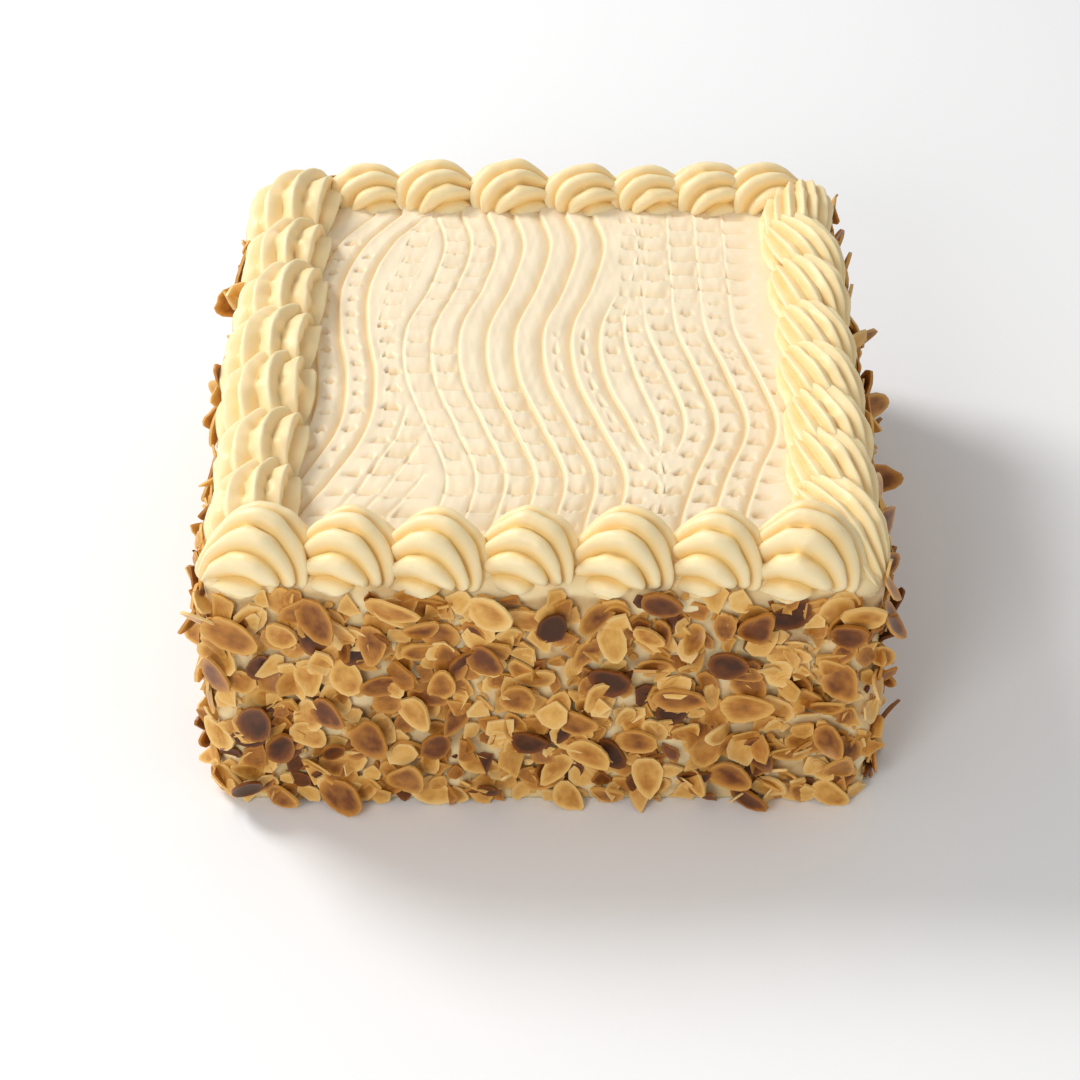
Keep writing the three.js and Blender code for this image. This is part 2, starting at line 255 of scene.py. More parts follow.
def finished_material(name, group, given, skin_values, strength, distance):
    """A material whose colour and bump come from a finish group. given holds the group's
    values, skin_values the shader's own, and distance is the bump's in millimetres."""
    material = bpy.data.materials.new(name)
    material.use_nodes = True
    tree = material.node_tree
    skin = tree.nodes["Principled BSDF"]
    finish = add_node(tree, "ShaderNodeGroup", node_tree=group)
    bump = add_node(tree, "ShaderNodeBump")
    bump_values = {"Strength": strength, "Distance": distance * MM}
    for node, values in ((skin, skin_values), (finish, given), (bump, bump_values)):
        for label, value in values.items():
            node.inputs[label].default_value = value
    tree.links.new(finish.outputs["Colour"], skin.inputs["Base Color"])
    tree.links.new(finish.outputs["Height"], bump.inputs["Height"])
    tree.links.new(bump.outputs["Normal"], skin.inputs["Normal"])
    return material


# Each noise has a scale, in lumps per metre, and a detail.
MOTTLING = (45, 3)
SUGAR_GRAIN = (700, 2)


def cream_group():
    """Colour and height of icing: the crest colour and a painted shade colour mixed by the point
    attribute for painted shade, which a broad noise shifts a little, and a fine noise for height."""
    inputs = [("Crest", "NodeSocketColor", (1, 1, 1, 1)), ("Painted shade", "NodeSocketColor", (1, 1, 1, 1)),
              ("Mottle", "NodeSocketFloat", 0.1)]
    outputs = [("Colour", "NodeSocketColor"), ("Height", "NodeSocketFloat")]
    group, given, result = socket_group("cream_colour_and_painted_shade", inputs, outputs)
    link = group.links.new
    place = add_node(group, "ShaderNodeTexCoord").outputs["Object"]
    painted_shade = add_node(group, "ShaderNodeAttribute", attribute_name="painted_shade").outputs["Fac"]
    centred = math_value(group, "SUBTRACT", noise_value(group, place, *MOTTLING), 0.5)
    share = math_value(group, "MULTIPLY_ADD", centred, given.outputs["Mottle"], painted_shade, clamp=True)
    mix = add_node(group, "ShaderNodeMix", data_type="RGBA")
    link(share, mix.inputs["Factor"])
    link(given.outputs["Crest"], mix.inputs["A"])
    link(given.outputs["Painted shade"], mix.inputs["B"])
    link(mix.outputs["Result"], result.inputs["Colour"])
    link(noise_value(group, place, *SUGAR_GRAIN), result.inputs["Height"])
    return group


CREAM = cream_group()


def cream_material(name, crest, painted_shade, mottle, roughness):
    """Icing with its own crest colour and painted shade colour, the darker, yellower one that stands for
    shade in grooves. Red light goes deepest into it.
    """
    given = {"Crest": (*crest, 1), "Painted shade": (*painted_shade, 1), "Mottle": mottle}
    skin = {"Roughness": roughness, "Specular IOR Level": 0.35, "Subsurface Weight": 0.25,
            "Subsurface Radius": (1, 0.6, 0.25), "Subsurface Scale": 2.5 * MM}
    return finished_material(name, CREAM, given, skin, strength=0.25, distance=0.1)


# Each icing's second colour is painted shade, darker and yellower, for its grooves and dips.
TOP_CREAM = cream_material("combed_buttercream", (0.95, 0.82, 0.61), (0.82, 0.56, 0.25), 0.12, 0.5)
SIDE_CREAM = cream_material("side_buttercream", (0.95, 0.78, 0.46), (0.86, 0.62, 0.28), 0.25, 0.55)
PIPED_CREAM = cream_material("piped_buttercream", (0.96, 0.79, 0.48), (0.90, 0.58, 0.16), 0.12, 0.42)
print("icing materials:", [m.name for m in (TOP_CREAM, SIDE_CREAM, PIPED_CREAM)])

# %% [markdown]
# ## The sides of the block
# A baker ices the sides with a broad knife, which leaves shallow waves and lumps, mostly level.
# The wall is a profile carried round the outline: up from the floor, over a rounded top edge
# and in under the piping. Lumps made of waves in space push it in and out, so the corners
# match without a seam.

# %% Ice the sides
WIDTH = 190
DEPTH = 209
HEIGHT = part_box("iced_cake")[1].z / MM
CORNER_RADIUS = 9
EDGE_RADIUS = 4
EDGE_STEPS = 8
RING_START = 5.5
RING_WIDTH = 11
RING_STEPS = 5
RING_DIP = 3
WALL_STEP = 1.4
FOOT_FADE = 5
TOP_FADE = 6
# Each size of knife stroke: how deep it is, its length in x, y and z, and its seed.
KNIFE_STROKES = [(0.55, (38, 38, 9), 5), (0.3, (11, 11, 6), 6), (0.12, (4, 4, 3), 7)]


def outline(step):
    """Points and outward ways round a rectangle with round corners, evenly spaced: from each
    corner's centre an arc of a quarter turn, then the straight side to the next corner."""
    half = np.array([WIDTH / 2 - CORNER_RADIUS, DEPTH / 2 - CORNER_RADIUS])
    signs = np.array([[1, -1], [1, 1], [-1, 1], [-1, -1]])
    points = []
    ways = []
    for corner in range(4):
        centre = signs[corner] * half
        onward = signs[(corner + 1) % 4] * half
        turns = np.linspace(0, np.pi / 2, int(CORNER_RADIUS * np.pi / 2 / step) + 1)
        angle = (corner - 1) * np.pi / 2 + turns
        arc = np.stack([np.cos(angle), np.sin(angle)], -1)
        steps = int(np.linalg.norm(onward - centre) / step)
        share = np.arange(1, steps)[:, None] / steps
        corner_points = centre + arc * CORNER_RADIUS
        points += [corner_points, corner_points[-1] + share * (onward - centre)]
        ways += [arc, np.repeat(arc[-1:], len(share), 0)]
    return np.concatenate(points), np.concatenate(ways)


def wall_profile(step):
    """Inset from the outline and height of each level: the wall, a quarter circle over the
    edge, a level ring under the piping, and a last step down that the combed top hides."""
    wall = np.arange(0, HEIGHT - EDGE_RADIUS, step)
    turn = np.linspace(0, np.pi / 2, EDGE_STEPS)
    ring = np.linspace(RING_START, RING_WIDTH, RING_STEPS)
    inset = np.concatenate([0 * wall, EDGE_RADIUS * (1 - np.cos(turn)), ring, [RING_WIDTH + 1]])
    edge = HEIGHT - EDGE_RADIUS * (1 - np.sin(turn))
    return inset, np.concatenate([wall, edge, HEIGHT + 0 * ring, [HEIGHT - RING_DIP]])


def side_icing():
    """The outline moved inwards by each level's inset, then in and out by the strokes of the
    knife, which fade at the foot and towards the top."""
    edge, way = outline(WALL_STEP)
    inset, height = wall_profile(WALL_STEP)
    flat = edge[None] - way[None] * inset[:, None, None]
    level = np.broadcast_to(height[:, None, None], (len(height), len(edge), 1))
    points = np.concatenate([flat, level], -1)
    strokes = sum(depth * lumps(points, size, seed) for depth, size, seed in KNIFE_STROKES)
    fade = smooth_step(0, FOOT_FADE, height) * smooth_step(HEIGHT, HEIGHT - TOP_FADE, height)
    points[..., :2] += way[None] * (strokes * fade[:, None])[..., None]
    # Painted shade: near half of the darker, yellower colour on the level wall, more where the knife
    # strokes press the icing in, less where they push it out.
    painted_shade = np.clip(0.45 - 0.5 * strokes, 0, 1)
    rows, columns = strokes.shape
    quads = grid_quads(rows, columns, closed=True)
    under = rows * columns
    triangles = np.concatenate([fan(under, np.arange(columns)[::-1]),
                                fan(under + 1, np.arange((rows - 1) * columns, rows * columns))])
    caps = np.array([[0, 0, 0], [0, 0, HEIGHT - RING_DIP]])
    points = np.concatenate([points.reshape(-1, 3), caps])
    painted_shade = np.concatenate([painted_shade.ravel(), [0.5, 0.5]])
    return put_mesh("side_icing", points, quads, triangles, {"painted_shade": painted_shade})


side = side_icing()
dress(side, SIDE_CREAM, "buttercream", "iced_cake")
print("side icing:", len(side.data.polygons), "faces")

# %% [markdown]
# ## The combed top
# A comb with blunt teeth was drawn from the back to the front in three waving passes, and
# shook on the way, so each band between two lines also has a row of pits or cells. The
# surface is a grid that follows the comb: one direction is the line, the other the way along
# it. The columns stand closer near each line, so the grooves stay sharp without a finer grid.

# %% Say how the comb moved
COMB_FIRST_Y = -82
COMB_LAST_Y = 84
COMB_KNOT_STEP = 25
COMB_WAVES = {
    "left": [-21, -9.9, -1, 0, -3.5, -4, 2.9, 17.5],
    "middle": [10, 13.7, 7.1, 0, -0.9, 6, 9.8, 4.4],
    "right": [-9, -3.3, 4, 0, -5.7, -6.5, -6.5, -6.5],
}
LEFT_PASS_END = -51.5
MIDDLE_PASS = (-42, 18.5)
RIGHT_PASS_START = 37.7
COMB_LINES = np.array([-69, -60.2, -51.5, -42, -33.5, -25, -16.4, -7.8,
                       1, 9.7, 18.5, 28, 37.7, 47, 56, 65])


def smooth_curve(values, y):
    """A Catmull-Rom curve through values that stand one knot step apart along y."""
    values = np.asarray(values, float)
    last = len(values) - 1
    place = np.clip((y - COMB_FIRST_Y) / COMB_KNOT_STEP, 0, last - 0.001)
    knot = place.astype(int)
    t = place - knot
    before, start, end, after = (values[np.clip(knot + i, 0, last)] for i in (-1, 0, 1, 2))
    slope_in = (end - before) / 2
    slope_out = (after - start) / 2
    return ((2 * t**3 - 3 * t**2 + 1) * start + (t**3 - 2 * t**2 + t) * slope_in
            + (3 * t**2 - 2 * t**3) * end + (t**3 - t**2) * slope_out)


def comb_x(line, y):
    """Where a line is at y: its own place plus the waves of the pass that it belongs to,
    blended between passes. Under the back piping the lines would cross, so y stops there."""
    y = np.minimum(y, COMB_LAST_Y)
    left = 1 - smooth_step(LEFT_PASS_END, MIDDLE_PASS[0], line)
    right = smooth_step(MIDDLE_PASS[1], RIGHT_PASS_START, line)
    return (line + left * smooth_curve(COMB_WAVES["left"], y)
            + (1 - left - right) * smooth_curve(COMB_WAVES["middle"], y)
            + right * smooth_curve(COMB_WAVES["right"], y))


print("x of the middle line, front to back:", comb_x(COMB_LINES[7], np.array([-80, 0, 80])).round(1))

# %% [markdown]
# ### Grooves, pits and cells
# A tooth drags icing with it: the groove falls gently from the left and rises steeply to a
# small lip on the right. Where the comb shook, it also dug in along its way: a pit deepens
# towards the front and ends in a sharp edge with a raised rim. Narrow pits are triangles and
# wide ones are cells, so one formula makes both, with its own numbers in each column of pits.

# %% Work out the relief of the top
GROOVE_DEPTH = [1.0, 1.4, 1.4, 0.4, 0.6, 0.8, 1.1, 1.2, 1.2, 1.2, 1.2, 0.8, 0.9, 1.3, 1.5, 1.3]
GROOVE_SLOPE = [2.6, 3.0, 3.0, 1.5, 1.7, 2.4, 3.4, 4.0, 4.2, 4.2, 4.0, 2.4, 2.6, 3.0, 3.2, 2.8]
BACK_SHARE = [0.8, 1, 1, 1.9, 1.5, 1.2, 1, 1, 1, 1, 0.9, 0.6, 0.35, 0.25, 0.2, 0.2]
BACK_BLEND = (-8, 26)
FAINT_GROOVES = [(10, -30), (18, -42), (26, -60)]
FAINT_DEPTH = 0.5
FAINT_SLOPE = 1.6
GROOVE_CURVE = 1.6
LIP_START = 0.9
LIP_WIDTH = 2.2
LIP_SHARE = 0.22
ROOM = (3.5, 7.5)
PIT_STEP = 8.5
PIT_WANDER = 0.1
PIT_WANDER_LENGTH = 9
PIT_BOW = 0.9
PIT_RIM = 0.25
RIM_LENGTH = 0.8
PIT_EDGE = 0.5
PIT_CURVE = 1.3
PIT_VARIATION = {"width": 0.2, "shift": 0.2, "depth": 0.4}
PIT_DRAWS = 64
ZONE_FADE = 7
COMB_SEED = 12
# Each column of pits: its place on the comb, how far right of it, the y where it starts and
# ends, the width and length of a pit, its depth, and how far it narrows towards the back.
PIT_COLUMNS = [
    (-64.8, 0, -100, 66, 3.8, 4.2, 1.4, 0.8), (-73.5, 0, -100, 30, 4.4, 4.6, 1.4, 0.7),
    (-56, 0, -100, 60, 3.6, 4.0, 1.3, 0.8), (-51.5, 6, -76, 20, 5.0, 4.4, 1.8, 0.7),
    (-51.5, 14, -100, -30, 6.5, 5.4, 0.8, 0), (-51.5, 22, -100, -46, 6.5, 5.4, 0.8, 0),
    (-51.5, 30, -100, -66, 6.5, 5.4, 0.8, 0), (-46.7, 0, 22, 82, 7.5, 5.2, 0.45, 0),
    (-37.7, 0, 22, 82, 7.0, 5.0, 0.5, 0), (-29.2, 0, 30, 82, 6.5, 5.0, 0.4, 0),
    (-37.7, 0, -100, 14, 6.8, 5.6, 0.6, 0), (-29.2, 0, -100, 8, 6.6, 5.6, 0.7, 0),
    (-20.7, 0, -100, -10, 6.4, 5.6, 0.8, 0), (-12.1, 0, -100, -16, 6.0, 5.4, 0.9, 0),
    (-3.4, 0, -100, -26, 5.0, 5.0, 1.1, 0.1), (5.3, 0, -100, -32, 4.6, 4.6, 1.2, 0.3),
    (14.1, 0, -100, -36, 4.2, 4.4, 1.2, 0.4), (23.2, 0, -74, -30, 4.0, 4.2, 1.2, 0.4),
    (5.3, 0, -12, 12, 1.6, 7.4, 0.9, 0.6), (14.1, 0, -26, 16, 1.8, 7.4, 1.0, 0.6),
    (23.2, 0, -6, 30, 4.2, 4.4, 1.2, 0.2), (33, 0, -4, 30, 5.4, 4.6, 1.3, 0.2),
    (42.4, 0, 4, 30, 5.4, 4.6, 1.2, 0.3), (51.5, 0, 6, 30, 4.6, 4.2, 1.1, 0.5),
    (60.5, 0, 6, 30, 4.2, 4.0, 1.0, 0.6), (69.5, 0, 6, 30, 4.2, 4.0, 1.0, 0.6),
    (33, 0, 38, 100, 7.0, 5.6, 0.6, 0), (42.4, 0, 38, 100, 7.4, 5.8, 0.7, 0),
    (51.5, 0, 38, 100, 7.4, 5.8, 0.7, 0), (60.5, 0, 38, 100, 7.4, 5.8, 0.7, 0),
    (69.5, 0, 38, 100, 7.0, 5.8, 0.7, 0), (33.6, 0, -62, -10, 4.6, 4.8, 1.3, 0.8),
    (42.4, 0, -86, -4, 5.0, 5.0, 1.4, 0.9), (51.5, 0, -100, -2, 5.2, 5.2, 1.4, 0.9),
    (60.5, 0, -100, -2, 5.2, 5.2, 1.4, 0.9), (69.5, 0, -100, 0, 5.0, 5.0, 1.4, 0.9),
]


def groove(gap, depth, slope):
    """Height across one groove: left of it a curve that falls to its depth, right of it a
    steep rise to a lip, which then fades out."""
    fall = -depth * np.clip(1 + gap / slope, 0, 1) ** GROOVE_CURVE
    lip = LIP_SHARE * depth
    rise = -depth + (depth + lip) * smooth_step(0, LIP_START, gap)
    settle = lip * (1 - smooth_step(LIP_START, LIP_START + LIP_WIDTH, gap))
    return np.where(gap < 0, fall, np.where(gap < LIP_START, rise, settle))


def groove_relief(x, y):
    """Height of all grooves. A groove fades where a neighbour comes too close, and the faint
    ones fade where the gap beside the left pass closes. Towards the back each one keeps its
    own share of its depth."""
    lines = np.stack([comb_x(line, y) for line in COMB_LINES])
    gaps = np.diff(lines, axis=0)
    room = np.minimum(np.concatenate([gaps[:1], gaps]), np.concatenate([gaps, gaps[-1:]]))
    back = smooth_step(*BACK_BLEND, y)
    strength = smooth_step(*ROOM, room) * (1 + back * (np.array(BACK_SHARE)[:, None, None] - 1))
    relief = 0 * x
    for i in range(len(COMB_LINES)):
        relief = relief + strength[i] * groove(x - lines[i], GROOVE_DEPTH[i], GROOVE_SLOPE[i])
    for beside, last_y in FAINT_GROOVES:
        fade = 1 - smooth_step(last_y, last_y + 2 * ZONE_FADE, y)
        gap = x - comb_x(LEFT_PASS_END, y) - beside
        relief = relief + fade * groove(gap, FAINT_DEPTH, FAINT_SLOPE)
    return relief


def pit_relief(x, y):
    """Height of the pits. In a column they repeat along y: share runs from 0 at a pit's back to
    1 at its front edge, and its depth grows with it, and its width too where it narrows."""
    random = np.random.default_rng(COMB_SEED)
    relief = 0 * x
    for place, beside, first_y, last_y, width, length, depth, narrow in PIT_COLUMNS:
        phase = random.uniform(0, 1)
        draws = random.uniform(-1, 1, (PIT_DRAWS, len(PIT_VARIATION))) * list(PIT_VARIATION.values())
        across = 2 * (x - comb_x(place, y) - beside) / width
        bow = PIT_BOW * np.clip(across, -1.5, 1.5) ** 2
        wander = PIT_WANDER * np.sin(y / PIT_WANDER_LENGTH + 6 * phase)
        run = (y - bow) / PIT_STEP + phase + wander
        cell = np.floor(run).astype(int)
        ahead = PIT_STEP * (1 - run + cell)
        wider, shift, deeper = np.moveaxis(draws[cell % PIT_DRAWS], -1, 0)
        share = np.clip((ahead - PIT_STEP + length) / length, 0, 1)
        half = (1 - narrow + narrow * share) * (1 + wider)
        inside = smooth_step(PIT_EDGE, -PIT_EDGE, (np.abs(across - shift) - half) * width)
        in_zone = smooth_step(first_y - ZONE_FADE, first_y, y) * smooth_step(last_y + ZONE_FADE, last_y, y)
        rim = PIT_RIM * np.exp(-ahead / RIM_LENGTH) * smooth_step(1.5, 0.9, np.abs(across))
        relief = relief + depth * (1 + deeper) * in_zone * (rim - inside * share**PIT_CURVE)
    return relief


print("a groove's height, from left to right:", groove(np.array([-3, -1, 0, 1, 3]), 1.5, 3).round(2))

# %% [markdown]
# ### The grid of the top
# Past the piping's middle the grid is squeezed, so that it ends under the shells on every
# side. Its rim dips below the icing's ring, and a fan to one point under it closes the piece.

# %% Make the combed top
SHEET = {"left": -83, "right": 84, "front": -94, "back": 96}
SQUEEZE = 5
ROW_STEP = 0.78
OUTER_STEP = 1.6
OUTER_COLUMNS = (-104, 96)
NEAR_LINE = np.array([-1.8, -1.1, -0.6, -0.25, 0, 0.25, 0.5, 0.8, 1.2, 1.8])
LINE_MARGIN = 2.4
BETWEEN_LINES = 10
IN_WIDE_GAP = 46
LEAST_GAP = 0.02
DEEPEST = 1.8
ROOM_SHARE = (0.1, 0.55)
RIM_DIP = 2.5
RIM_WIDTH = 4
UNDER_TOP = 12
# Each size of unevenness: how high it is, its length in x, y and z, and its seed.
TREMBLE = [(0.16, 14, 21), (0.05, (2.5, 9, 9), 22)]
# The share of painted shade in the colour: where level, and how fast it rises per millimetre of depth.
LEVEL_SHADE = 0.1
SHADE_RISE = 0.8 / 1.5
MOST_SHADE = 0.9


def comb_columns():
    """Places of the grid's columns: a few close to each line, even ones between, and many in
    the gap where the left pass wanders away from the middle one."""
    lows, highs = COMB_LINES[:-1] + LINE_MARGIN, COMB_LINES[1:] - LINE_MARGIN
    counts = np.where(COMB_LINES[:-1] == LEFT_PASS_END, IN_WIDE_GAP, BETWEEN_LINES)
    even = [np.linspace(*ends) for ends in zip(lows, highs, counts)]
    first, last = OUTER_COLUMNS
    outer = [np.arange(first, COMB_LINES[0] - LINE_MARGIN, OUTER_STEP),
             np.arange(COMB_LINES[-1] + LINE_MARGIN, last, OUTER_STEP)]
    near = [line + NEAR_LINE for line in COMB_LINES]
    return np.sort(np.concatenate(even + outer + near))


def squeezed(x):
    """x where the top shows. Past the sheet's edge less SQUEEZE it nears the edge along an
    exponential, so that no column crosses it."""
    inner = np.clip(x, SHEET["left"] + SQUEEZE, SHEET["right"] - SQUEEZE)
    beyond = x - inner
    return inner + SQUEEZE * np.sign(beyond) * (1 - np.exp(-np.abs(beyond) / SQUEEZE))


def kept_apart(x):
    """Columns that would cross are held LEAST_GAP apart: a running maximum along each row of x
    less its column's share of gaps, which are then added again."""
    gaps = LEAST_GAP * np.arange(x.shape[1])
    return np.maximum.accumulate(x - gaps, axis=1) + gaps


def combed_top():
    """The comb's grid with the grooves, the pits and two sizes of lumps for height. Where a pit
    meets a groove a hyperbolic tangent keeps them from adding up to a hole, and where the
    lines run together the relief fades."""
    line_at = comb_columns()[None, :]
    y = np.arange(SHEET["front"], SHEET["back"], ROW_STEP)[:, None]
    x = kept_apart(squeezed(comb_x(line_at, y)))
    flat = np.stack([x, y + 0 * x, 0 * x], -1)
    room = np.gradient(x, axis=1) / np.gradient(line_at, axis=1)
    relief = DEEPEST * np.tanh((groove_relief(x, y) + pit_relief(x, y)) / DEEPEST)
    relief = relief * smooth_step(*ROOM_SHARE, room)
    tremble = sum(high * lumps(flat, size, seed) for high, size, seed in TREMBLE)
    from_side = np.minimum(x - SHEET["left"], SHEET["right"] - x)
    rim = np.minimum(from_side, np.minimum(y - SHEET["front"], SHEET["back"] - y))
    height = HEIGHT + relief + tremble - RIM_DIP * (1 - smooth_step(0, RIM_WIDTH, rim))
    points = flat + height[..., None] * np.array([0, 0, 1])
    # Painted shade: grooves and pits take more of the darker, yellower colour the deeper they are.
    painted_shade = np.clip(LEVEL_SHADE - SHADE_RISE * relief, LEVEL_SHADE, MOST_SHADE)
    rows, columns = height.shape
    number = np.arange(rows * columns).reshape(rows, columns)
    ring = np.concatenate([number[0, :-1], number[:-1, -1], number[-1, :0:-1], number[:0:-1, 0]])
    points = np.concatenate([points.reshape(-1, 3), [[0, 0, HEIGHT - UNDER_TOP]]])
    painted_shade = np.concatenate([painted_shade.ravel(), [0.5]])
    return put_mesh("combed_top", points, grid_quads(rows, columns), fan(rows * columns, ring[::-1]),
                    {"painted_shade": painted_shade})


top = combed_top()
dress(top, TOP_CREAM, "buttercream", "iced_cake")
print("combed top:", len(top.data.polygons), "faces")

# %% [markdown]
# ## The piped shells
# A star nozzle is pressed down, lets a round head swell, and is drawn away to a tail that the
# next shell covers. Its teeth leave ridges, which start under the head, run over it and meet
# in the tail. On a ball such ridges are circles through two poles. They are made by spacing
# straight meridians evenly and then pushing the ball towards the side where the poles meet.
# Each row was piped another way round, so each has its own poles and size.

# %% Say how each row was piped
# along is the way a row was piped and out points off the cake. line is the row's distance from
# the middle, and places are the shells' along it. rise and low are how far a shell reaches
# above and below its widest level, which lift puts over the block's top. Its ridges run from
# tail to root, both given along, out and up. sag and droop bend down its tail and its head,
# eye is how deep the hollow is that the ridges curl round at their root, and lean turns it
# outwards. Its grooves have a depth, a roundness, 1 for a crease, and a share of painted shade,
# the darker, yellower colour painted into them.
USUAL_ROW = {"low": 4.5, "lift": 0, "droop": 0, "eye": 0, "lean": 0}
ROWS = {
    "back": {
        "along": (1, 0), "out": (0, 1), "length": 31, "width": 23, "rise": 12, "line": 95.5,
        "tail": (0.9, -0.3, -0.3), "root": (-0.25, -0.76, -0.6), "sag": 2, "eye": 3.5,
        "ridges": 10, "depth": 2.8, "roundness": 2.0, "groove_shade": 0.9,
        "places": [-57.7, -35.4, -10, 14, 35.6, 55.6, 74],
    },
    "right": {
        "along": (0, -1), "out": (1, 0), "length": 46, "width": 25, "rise": 12.5, "line": 83.5,
        "tail": (0.7, 0.6, -0.4), "root": (-0.95, -0.25, -0.2), "sag": 5, "lean": 12,
        "ridges": 16, "depth": 2.5, "roundness": 1.3, "groove_shade": 0.6,
        "places": [78, 55, 31, 7, -17, -40, -61, -82],
    },
    "left": {
        "along": (0, -1), "out": (-1, 0), "length": 44, "width": 28, "rise": 14, "line": 82.8,
        "tail": (-0.93, -0.3, -0.1), "root": (0.25, -0.93, -0.25), "sag": 6, "lean": 20,
        "ridges": 11, "depth": 3.6, "roundness": 1.1, "groove_shade": 0.5,
        "places": [81, 54, 27, 2, -23, -49, -74],
    },
    "front": {
        "along": (-1, 0), "out": (0, -1), "length": 36, "width": 29, "rise": 17, "low": 6, "lift": -1.5,
        "line": 94.5, "tail": (0.87, 0.33, -0.35), "root": (-0.3, 0.84, -0.38), "sag": 2, "droop": 5,
        "eye": 5.5, "ridges": 12, "depth": 2.8, "roundness": 2.2, "groove_shade": 1,
        "places": [73, 48.1, 23.2, -3.8, -29.6, -53.6, -78.5],
    },
}
RIDGE_FADE = 3
EYE_HALF_ANGLE = 38
TAIL_TAPER = 0.3
# Each unevenness of a shell: how much, and its length.
SHELL_LUMPS = (0.3, 13)
SHELL_GRAIN = (0.06, 4)
DEPTH_LUMPS = (0.25, 9)
HAND_VARIATION = {"size": 0.06, "turn": 6, "shift": 0.8}
CORNER_TURN = -24
SHELL_SEED = 41
SHELL_RINGS = 56
STEPS_PER_RIDGE = 12
# The share of painted shade at a shell's two poles, where its grooves meet.
POLE_SHADE = 0.4
# The tangent in ridge_ways has no value at just half a turn, so turns start a hair past it.
TURN_NUDGE = 1e-6


def park_miller(seed):
    """Random numbers from 0 to 1, the same in any language: multiply by 16807, keep the rest
    after division by 2^31 - 1."""
    state = seed
    while True:
        state = state * 16807 % 2147483647
        yield state / 2147483647


def unit(way):
    return np.asarray(way, float) / np.linalg.norm(way)


def ridge_ways(row, share, turn):
    """Ways from a ball's middle to the points of its ridge lines, and how far apart the lines
    are there. share goes from the tail pole to the root pole, turn goes round the ball. A
    straight ball with opposite poles is pushed towards bend, which brings the poles together."""
    tail, root = unit(row["tail"]), unit(row["root"])
    axis, bend = unit(tail - root), unit(tail + root)
    curl = np.linalg.norm(tail + root) / 2
    bunching = np.sqrt((1 - curl) / (1 + curl))
    stretch = 1 / np.sqrt(1 - curl * curl)
    polar = np.pi * share + 0.5 * (1 - bunching) * np.sin(2 * np.pi * share)
    bunched = 2 * np.arctan(np.tan(turn / 2) / bunching)
    straight = (np.cos(polar)[..., None] * axis + (np.sin(polar) * np.cos(bunched))[..., None] * bend
                + (np.sin(polar) * np.sin(bunched))[..., None] * np.cross(axis, bend))
    near = (straight @ bend)[..., None]
    shrink = stretch * (1 + curl * near)
    way = (straight + bend * ((stretch - 1) * near + stretch * curl)) / shrink
    return way, np.sin(polar) / shrink[..., 0]


print("park miller's first number:", round(next(park_miller(SHELL_SEED)), 4))

# %% [markdown]
# ### Pipe the shells
# The ball is stretched to the shell's size, slimmer and lower at its tail, and the grooves are
# cut towards its middle, so that the surface never crosses itself. No two shells that a hand
# pipes are alike: each gets a slightly other size, turn and place.

# %% Pipe the border
def shell_points(row, place, hand, share, turn, seed):
    """Points of one shell, and how deep in a groove each lies, from 0 on a crest to 1."""
    way, spread = ridge_ways(row, share, turn)
    ridge = row["ridges"] * turn / (2 * np.pi)
    valley = (2 * np.abs(ridge - np.round(ridge))) ** row["roundness"]
    valley = valley * np.minimum(1, spread * RIDGE_FADE)
    high = np.where(way[..., 2] > 0, row["rise"] - row["lift"], row["low"])
    size = np.stack([0 * high + row["length"] / 2, 0 * high + row["width"] / 2, high], -1)
    local = way * size
    reach = np.linalg.norm(local, axis=-1)
    uneven, grain, deeper = (amount * lumps(local + place, length, seed + i) for i, (amount, length)
                             in enumerate((SHELL_LUMPS, SHELL_GRAIN, DEPTH_LUMPS)))
    eye = row["eye"] * smooth_step(np.cos(np.radians(EYE_HALF_ANGLE)), 1, way @ unit(row["root"]))
    cut = eye + row["depth"] * valley * (1 + deeper) - uneven - grain
    local = local * ((reach - cut) / reach)[..., None]
    towards_end = np.maximum(0, way[..., 0]) ** 2
    local[..., 1:] *= (1 - TAIL_TAPER * towards_end)[..., None]
    local[..., 2] -= row["sag"] * towards_end + row["droop"] * np.maximum(0, -way[..., 0]) ** 2
    local = local * hand["size"]
    turned = hand["turn"] + np.radians(row["lean"])
    cos, sin = np.cos(turned), np.sin(turned)
    along = local[..., 0] * cos - local[..., 1] * sin
    out = row["line"] + local[..., 0] * sin + local[..., 1] * cos + hand["shift"]
    (ax, ay), (ox, oy) = row["along"], row["out"]
    x = abs(ax) * place + ax * along + ox * out
    y = abs(ay) * place + ay * along + oy * out
    return np.stack([x, y, HEIGHT + row["lift"] + local[..., 2]], -1), valley


def pipe_shell(name, row, place, hand, seed):
    """One shell: rings of points between its two poles, closed at each pole by a fan."""
    columns = row["ridges"] * STEPS_PER_RIDGE
    share = np.linspace(0, 1, SHELL_RINGS + 2)[:, None]
    turn = np.linspace(-np.pi, np.pi, columns, endpoint=False)[None, :]
    share, turn = np.broadcast_arrays(share, turn + TURN_NUDGE)
    points, valley = shell_points(row, place, hand, share, turn, seed)
    inner = points[1:-1].reshape(-1, 3)
    points = np.concatenate([inner, points[0, :1], points[-1, :1]])
    # Painted shade: a darker, yellower colour in each groove, by its depth and the row's share.
    painted_shade = row["groove_shade"] * np.concatenate([valley[1:-1].ravel(), [POLE_SHADE] * 2])
    tail, root = len(inner), len(inner) + 1
    ring = np.arange(columns)
    triangles = np.concatenate([fan(tail, ring[::-1]), fan(root, ring + (SHELL_RINGS - 1) * columns)])
    quads = grid_quads(SHELL_RINGS, columns, closed=True)
    return put_mesh(name, points, quads, triangles, {"painted_shade": painted_shade})


